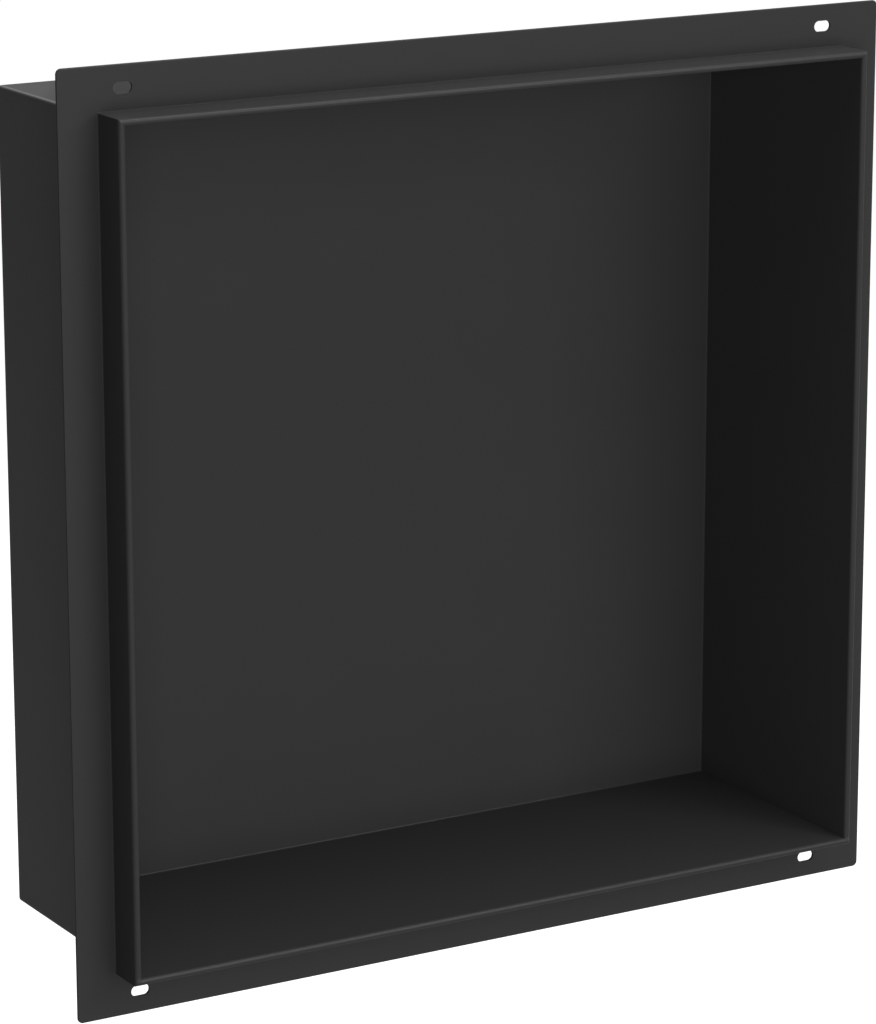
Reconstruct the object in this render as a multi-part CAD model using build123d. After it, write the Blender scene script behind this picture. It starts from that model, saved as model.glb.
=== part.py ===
from build123d import *
import os

# Shower niche insert, in millimetres: a recessed shelf box folded from one gauge of steel sheet.
# X runs to the right, Y into the wall and Z up.
# The origin is the middle of the flange's back face, which seats on the wall board.

# Driving dimensions
OPENING_WIDTH = 300.0   # clear width between the side walls
OPENING_HEIGHT = 300.0  # clear height between floor and ceiling
DEPTH = 100.0           # front of the rim to the outside of the back panel
SHEET = 1.0             # thickness of the coated sheet
HEM_GAP = 0.5           # space left inside the rim's fold
RIM_STAND = 16.0        # front of the rim to the front of the flange: one tile and its adhesive
FLANGE_SIDE = 15.0      # width of the flange's two upright bands, out from the collar
FLANGE_LEVEL = 16.0     # width of the flange's two level bands, out from the collar
FLANGE_CORNER = 2.0     # radius of the flange's four corners
FLANGE_EDGE = 0.3       # softening of the flange's cut edges
BEND_INSIDE = 0.5       # inside radius of each square bend
SLOT_LENGTH = 7.2       # screw slot, end to end
SLOT_WIDTH = 4.0        # screw slot, side to side
SLOT_FROM_SIDE = 24.5   # side edge of the flange to the middle of a slot

# Sizes that follow from the fold: wall, gap and collar lie side by side across the rim
RIM = 2 * SHEET + HEM_GAP
BEND_OUTSIDE = BEND_INSIDE + SHEET
BEND_END = RIM + BEND_INSIDE
FLANGE_WIDTH = OPENING_WIDTH + 2 * (RIM + FLANGE_SIDE)
FLANGE_HEIGHT = OPENING_HEIGHT + 2 * (RIM + FLANGE_LEVEL)

# Places along Y
FLANGE_FRONT = -SHEET
RIM_FRONT = FLANGE_FRONT - RIM_STAND
HEM_END = RIM_FRONT + RIM / 2
BACK = RIM_FRONT + DEPTH


def around_opening(reach):
    """A rectangle that lies reach outside the clear opening on every side."""
    return Rectangle(OPENING_WIDTH + 2 * reach, OPENING_HEIGHT + 2 * reach)


def block(reach, end):
    """A block that lies reach outside the clear opening, from the end of the hem to Y = end."""
    footprint = Plane.XZ.offset(-HEM_END) * around_opening(reach)
    return extrude(footprint, HEM_END - end)


def back_edges(solid):
    """The edges round the face that lies deepest in the wall."""
    return solid.faces().sort_by(Axis.Y)[-1].edges()


def open_box():
    """Floor, ceiling, two sides and the back panel, folded up round the back and welded at the corners."""
    outside = block(SHEET, BACK)
    corner_seams = outside.edges().filter_by(Axis.Y)
    outside = fillet(back_edges(outside) + corner_seams, BEND_OUTSIDE)
    inside = block(0, BACK - SHEET)
    inside = fillet(back_edges(inside), BEND_INSIDE)
    return outside - inside


def rim_section():
    """The sheet seen end on, out from the opening's edge: the bend at the flange, the collar and the hem."""
    collar_middle = RIM - SHEET / 2
    collar_start = (collar_middle, FLANGE_FRONT - BEND_INSIDE)
    collar_end = (collar_middle, HEM_END)
    hem_nose = (RIM / 2, RIM_FRONT + SHEET / 2)
    wall_start = (SHEET / 2, HEM_END)
    bend = RadiusArc((BEND_END, -SHEET / 2), collar_start, -(BEND_INSIDE + SHEET / 2))
    collar = Line(collar_start, collar_end)
    hem = ThreePointArc(collar_end, hem_nose, wall_start)
    return trace(Curve() + [bend, collar, hem], line_width=SHEET)


def rim():
    """The hemmed rim and its collar: the section carried round the opening, mitred at the corners."""
    half_width = OPENING_WIDTH / 2
    half_height = OPENING_HEIGHT / 2
    opening = Plane.XZ * Polyline(
        (0, -half_height),
        (half_width, -half_height),
        (half_width, half_height),
        (-half_width, half_height),
        (-half_width, -half_height),
        close=True,
    )
    across_sill = Plane(origin=(0, 0, -half_height), x_dir=(0, 0, -1), z_dir=(1, 0, 0))
    section = across_sill * rim_section()
    return Solid.sweep(section.face(), path=opening.wire(), transition=Transition.RIGHT)


def screw_slots():
    """The four slots, each level and in the middle of the flange's upper or lower band."""
    across = FLANGE_WIDTH - 2 * SLOT_FROM_SIDE
    upright = FLANGE_HEIGHT - FLANGE_LEVEL
    return GridLocations(across, upright, 2, 2) * SlotOverall(SLOT_LENGTH, SLOT_WIDTH)


def flange():
    """The flat band round the collar, with rounded corners, softened edges and the screw slots."""
    outline = RectangleRounded(FLANGE_WIDTH, FLANGE_HEIGHT, FLANGE_CORNER)
    plate = extrude(Plane.XZ * outline, SHEET)
    front_and_back = plate.faces().filter_by(Axis.Y)
    plate = fillet(front_and_back.edges(), FLANGE_EDGE)
    holes = around_opening(BEND_END) + screw_slots()
    return plate - extrude(Plane.XZ * holes, SHEET)


niche_insert = open_box() + rim() + flange()

os.makedirs("parts", exist_ok=True)
export_step(niche_insert, "parts/niche_insert.step")
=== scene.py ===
import math

import bpy
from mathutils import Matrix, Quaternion, Vector


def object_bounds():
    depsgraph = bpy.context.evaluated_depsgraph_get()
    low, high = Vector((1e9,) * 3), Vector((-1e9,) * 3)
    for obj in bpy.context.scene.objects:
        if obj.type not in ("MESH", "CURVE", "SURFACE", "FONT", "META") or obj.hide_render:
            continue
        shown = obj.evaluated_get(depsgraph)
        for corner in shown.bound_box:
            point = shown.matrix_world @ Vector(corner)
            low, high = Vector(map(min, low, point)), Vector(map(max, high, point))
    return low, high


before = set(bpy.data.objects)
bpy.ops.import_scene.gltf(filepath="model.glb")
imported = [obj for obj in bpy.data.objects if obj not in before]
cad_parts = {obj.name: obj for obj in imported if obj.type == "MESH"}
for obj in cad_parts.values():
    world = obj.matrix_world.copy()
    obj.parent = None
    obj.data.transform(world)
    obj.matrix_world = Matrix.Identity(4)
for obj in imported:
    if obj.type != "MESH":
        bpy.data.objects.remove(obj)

cad_low, cad_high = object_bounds()

# Shower niche insert: its solid gets a powder coat here, and a floor, lamps and a camera.
# Lengths are in metres where nothing else is said.

# Camera: focal length in pixels of the picture, sensor in millimetres
EYE = Vector((-0.77988, -1.29514, 0.38114))
AIM = Vector((-0.02086, -0.00090, -0.00218))
ROLL = math.radians(-0.0952)
FOCAL_PIXELS = 4327.3
PICTURE_HEIGHT = 1024
SENSOR = 36.0
NEAR_CLIP = 0.05
FAR_CLIP = 100.0

# Floor: pale round the niche, and glowing white from GLOW_FULL on
FLOOR_DROP = 0.30
FLOOR_LEVEL = cad_low.z - FLOOR_DROP
FLOOR_HALF = 30.0
FLOOR_COLOUR = (0.30, 0.30, 0.30, 1.0)
GLOW_NEAR = 0.60
GLOW_FAR = 1.0
GLOW_STARTS = 0.25
GLOW_FULL = 0.70
WHITE = (1.0, 1.0, 1.0, 1.0)

# Softboxes that face the niche: middle, width, height and brightness, where 1 is plain white
SOFTBOXES = {
    "camera_softbox": (Vector((-0.80, -1.70, 0.10)), 0.7, 0.9, 11.0),
    "front_softbox": (Vector((0.30, -1.70, 0.10)), 0.8, 1.1, 4.3),
    "right_softbox": (Vector((0.80, -1.30, 0.70)), 0.5, 0.5, 9.8),
    "overhead_softbox": (Vector((0.20, -0.20, 1.50)), 1.2, 1.2, 6.4),
}
BACK_FILL = (Vector((0.00, 2.00, 0.20)), 0.8, 1.6, 5.0)

# Sizes of the niche that its finish follows
OPENING_HALF = 0.150
RIM = 0.0025
SHEET = 0.001

# Powder coat: its faint orange peel, and the clouds in its gloss and colour
COAT_COLOUR = (0.028, 0.028, 0.028)
COAT_ROUGHNESS = 0.40
COAT_GLOSS = 0.02
PEEL_SIZE = 0.0015
PEEL_DETAIL = 1.0
PEEL_HEIGHT = 0.000004
CLOUD_SIZE = 0.03
CLOUD_DETAIL = 3.0
CLOUD_MIDDLE = 0.5
CLOUD_IN_ROUGHNESS = 0.06
CLOUD_IN_COLOUR = 0.06

# The smoother line on top of the level folds and along the box's corner seams
FOLD_REACH = 0.0006
FOLD_GLOSS = 0.28
SEAM_GLOSS = 0.84
FOLD_ROUGHNESS = 0.28

# Dry spray above and below the box, in the shelter of the flange: it fades towards the back's corners
DRY_ROUGHNESS = 0.28
DRY_SLANT = 0.6
DRY_UP_TO = 0.150
DRY_ENDS = 0.180

# Painted shade: the coat's colour is drawn darker on the flange's cut edges and slot walls
CUT_EDGE_PAINTED_SHADE = 0.9
CUT_EDGE_SHADE_CORE = 0.0002


class Wire:
    """A shader socket. An operator between two wires, or a wire and a number, adds its Math node."""

    def __init__(self, tree, socket=None):
        self.tree = tree
        self.socket = socket

    def node(self, kind, settings, inputs, output=0):
        """Adds a node of that type: its settings first, then each socket's value or link."""
        made = self.tree.nodes.new(kind)
        for name, value in settings.items():
            setattr(made, name, value)
        for name, value in inputs.items():
            if isinstance(value, Wire):
                self.tree.links.new(value.socket, made.inputs[name])
            else:
                made.inputs[name].default_value = value
        return Wire(self.tree, made.outputs[output] if made.outputs else None)

    def other(self, output):
        """Another output of the node that this wire comes from."""
        return Wire(self.tree, self.socket.node.outputs[output])

    def operate(self, operation, first, second=0):
        """Adds a Math node. An operation on one value leaves the second unused."""
        return self.node("ShaderNodeMath", {"operation": operation}, {0: first, 1: second})

    def __add__(self, other):
        return self.operate("ADD", self, other)

    __radd__ = __add__

    def __sub__(self, other):
        return self.operate("SUBTRACT", self, other)

    def __rsub__(self, other):
        return self.operate("SUBTRACT", other, self)

    def __mul__(self, other):
        return self.operate("MULTIPLY", self, other)

    __rmul__ = __mul__

    def __neg__(self):
        return self.operate("MULTIPLY", self, -1)

    def __abs__(self):
        return self.operate("ABSOLUTE", self)

    def sign(self):
        return self.operate("SIGN", self)

    def larger(self, other):
        return self.operate("MAXIMUM", self, other)


def new_material(name):
    """An empty material and the wire that its nodes grow from."""
    material = bpy.data.materials.new(name)
    material.use_nodes = True
    material.node_tree.nodes.clear()
    return material, Wire(material.node_tree)


def seen_directly(start):
    """One where the viewer sees a surface straight, in a reflection or through glass, else zero."""
    camera_ray = start.node("ShaderNodeLightPath", {}, {}, "Is Camera Ray")
    return camera_ray + camera_ray.other("Is Glossy Ray") + camera_ray.other("Is Transmission Ray")


def noise(place, size, detail):
    """Soft random spots of about that size, from zero to one."""
    return place.node("ShaderNodeTexNoise", {}, {"Vector": place, "Scale": 1 / size, "Detail": detail})


def rise(value, low, high, shape="LINEAR"):
    """Zero up to the low value, one from the high value on, and a rise between them."""
    limits = {"Value": value, "From Min": low, "From Max": high, "To Min": 0.0, "To Max": 1.0}
    return value.node("ShaderNodeMapRange", {"interpolation_type": shape}, limits, "Result")


def up_to_edge(value, edge):
    """Rises over the last short stretch before an edge."""
    return rise(value, edge - FOLD_REACH, edge)


def level_folds(into_wall, height):
    """One on the upper side of the rim's level folds, at the floor's bend and on the flange's top edge."""
    on_level_run = up_to_edge(abs(height), OPENING_HALF)
    above_nose = height - height.sign() * (OPENING_HALF + RIM / 2)
    on_upper_side = up_to_edge(above_nose, RIM / 4)
    on_rim = up_to_edge(-into_wall, -cad_low.y)
    on_back_bend = up_to_edge(into_wall, cad_high.y - SHEET)
    on_flange_top = up_to_edge(height, cad_high.z)
    return on_level_run * on_upper_side * (on_rim + on_back_bend) + on_flange_top


def outer_levels(into_wall, height):
    """One on the box's outside behind the flange, above its ceiling and below its floor."""
    return up_to_edge(into_wall, SHEET) * up_to_edge(abs(height), OPENING_HALF + SHEET)


def corner_seams(across, on_outer_level):
    """One where the box's outer levels meet its sides."""
    return on_outer_level * up_to_edge(abs(across), OPENING_HALF)


def dry_spray(across, into_wall, on_outer_level):
    """One on the outer levels, fading to zero as sideways reach plus a share of the depth grows."""
    return on_outer_level * (1 - rise(abs(across) + DRY_SLANT * into_wall, DRY_UP_TO, DRY_ENDS))


def cut_edge_painted_shade(across, into_wall, height):
    """Painted shade: one within the flange's thickness beyond the rim, down to zero at its two faces."""
    outward = abs(across).larger(abs(height))
    beyond_rim = up_to_edge(outward, OPENING_HALF + RIM + FOLD_REACH)
    from_middle = abs(into_wall + SHEET / 2)
    return beyond_rim * (1 - rise(from_middle, CUT_EDGE_SHADE_CORE, SHEET / 2))


def black_powder_coat():
    """Matte black with a faint orange peel and clouded gloss, smoother on folds and seams, with painted
    shade on cut edges.
    """
    material, start = new_material("black_powder_coat")
    place = start.node("ShaderNodeTexCoord", {}, {}, "Object")
    across = start.node("ShaderNodeSeparateXYZ", {}, {"Vector": place}, "X")
    into_wall = across.other("Y")
    height = across.other("Z")

    peel = noise(place, PEEL_SIZE, PEEL_DETAIL)
    relief = start.node("ShaderNodeBump", {}, {"Height": peel, "Distance": PEEL_HEIGHT}, "Normal")
    cloud = noise(place, CLOUD_SIZE, CLOUD_DETAIL) - CLOUD_MIDDLE
    fold = level_folds(into_wall, height)
    on_outer_level = outer_levels(into_wall, height)
    seam = corner_seams(across, on_outer_level)
    dry = dry_spray(across, into_wall, on_outer_level)
    cut_edge_shade = cut_edge_painted_shade(across, into_wall, height)

    # Random cloudy tone, times painted shade that darkens the colour on the flange's cut edges and slot
    # walls
    cloud_tone_and_painted_shade = (1 + CLOUD_IN_COLOUR * cloud) * (1 - CUT_EDGE_PAINTED_SHADE * cut_edge_shade)
    colour = start.node("ShaderNodeVectorMath", {"operation": "SCALE"}, {0: COAT_COLOUR, "Scale": cloud_tone_and_painted_shade})
    shader = start.node("ShaderNodeBsdfPrincipled", {}, {
        "Base Color": colour,
        "Roughness": COAT_ROUGHNESS + CLOUD_IN_ROUGHNESS * cloud + DRY_ROUGHNESS * dry,
        "Specular IOR Level": COAT_GLOSS,
        "Coat Weight": FOLD_GLOSS * fold + SEAM_GLOSS * seam,
        "Coat Roughness": FOLD_ROUGHNESS,
        "Normal": relief,
    }, "BSDF")
    start.node("ShaderNodeOutputMaterial", {}, {"Surface": shader})
    return material


def pale_floor():
    """A pale matte floor whose glow grows with the distance from the spot below the niche."""
    material, start = new_material("pale_floor")
    place = start.node("ShaderNodeTexCoord", {}, {}, "Object")
    middle = (0.0, 0.0, FLOOR_LEVEL)
    away = start.node("ShaderNodeVectorMath", {"operation": "DISTANCE"}, {0: place, 1: middle}, "Value")
    brightness = GLOW_NEAR + (GLOW_FAR - GLOW_NEAR) * rise(away, GLOW_STARTS, GLOW_FULL, "SMOOTHSTEP")
    diffuse = start.node("ShaderNodeBsdfDiffuse", {}, {"Color": FLOOR_COLOUR}, "BSDF")
    glow = start.node("ShaderNodeEmission", {}, {"Color": seen_directly(start) * brightness})
    both = start.node("ShaderNodeAddShader", {}, {0: diffuse, 1: glow})
    start.node("ShaderNodeOutputMaterial", {}, {"Surface": both})
    return material


def studio_floor():
    """One wide square below the niche."""
    ways_out = ((-1, -1), (1, -1), (1, 1), (-1, 1))
    corners = [(x * FLOOR_HALF, y * FLOOR_HALF, FLOOR_LEVEL) for x, y in ways_out]
    mesh = bpy.data.meshes.new("floor")
    mesh.from_pydata(corners, [], [(0, 1, 2, 3)])
    mesh.materials.append(pale_floor())
    floor = bpy.data.objects.new("floor", mesh)
    bpy.context.scene.collection.objects.link(floor)


def white_surroundings():
    """A world that looks white and leaves the lighting to the lamps."""
    world = bpy.data.worlds.new("studio")
    world.use_nodes = True
    world.node_tree.nodes.clear()
    start = Wire(world.node_tree)
    background = start.node("ShaderNodeBackground", {}, {"Color": WHITE, "Strength": seen_directly(start)})
    start.node("ShaderNodeOutputWorld", {}, {"Surface": background})
    bpy.context.scene.world = world


def softbox(name, place, width, height, brightness):
    """A rectangular lamp of that brightness, turned to the origin and hidden from the camera."""
    data = bpy.data.lights.new(name, "AREA")
    data.shape = "RECTANGLE"
    data.size = width
    data.size_y = height
    data.energy = brightness * math.pi * width * height
    lamp = bpy.data.objects.new(name, data)
    lamp.location = place
    lamp.rotation_mode = "QUATERNION"
    lamp.rotation_quaternion = (-place).to_track_quat("-Z", "Y")
    lamp.visible_camera = False
    bpy.context.scene.collection.objects.link(lamp)
    return lamp


def photo_camera():
    """The photo's view, from EYE towards AIM. The sensor spans the picture's longer side, its height."""
    data = bpy.data.cameras.new("camera")
    data.sensor_width = SENSOR
    data.lens = FOCAL_PIXELS / PICTURE_HEIGHT * SENSOR
    data.clip_start = NEAR_CLIP
    data.clip_end = FAR_CLIP
    camera = bpy.data.objects.new("camera", data)
    camera.location = EYE
    camera.rotation_mode = "QUATERNION"
    roll = Quaternion((0, 0, 1), ROLL)
    camera.rotation_quaternion = (AIM - EYE).to_track_quat("-Z", "Y") @ roll
    bpy.context.scene.collection.objects.link(camera)
    bpy.context.scene.camera = camera


bpy.context.scene.view_settings.view_transform = "Standard"
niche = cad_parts["niche_insert"]
niche.material_slots[0].material = black_powder_coat()
studio_floor()
white_surroundings()
for lamp_name, settings in SOFTBOXES.items():
    softbox(lamp_name, *settings)
# The fill behind lights the hidden sides and leaves no glint on the ones in the photo
softbox("back_fill", *BACK_FILL).visible_glossy = False
photo_camera()
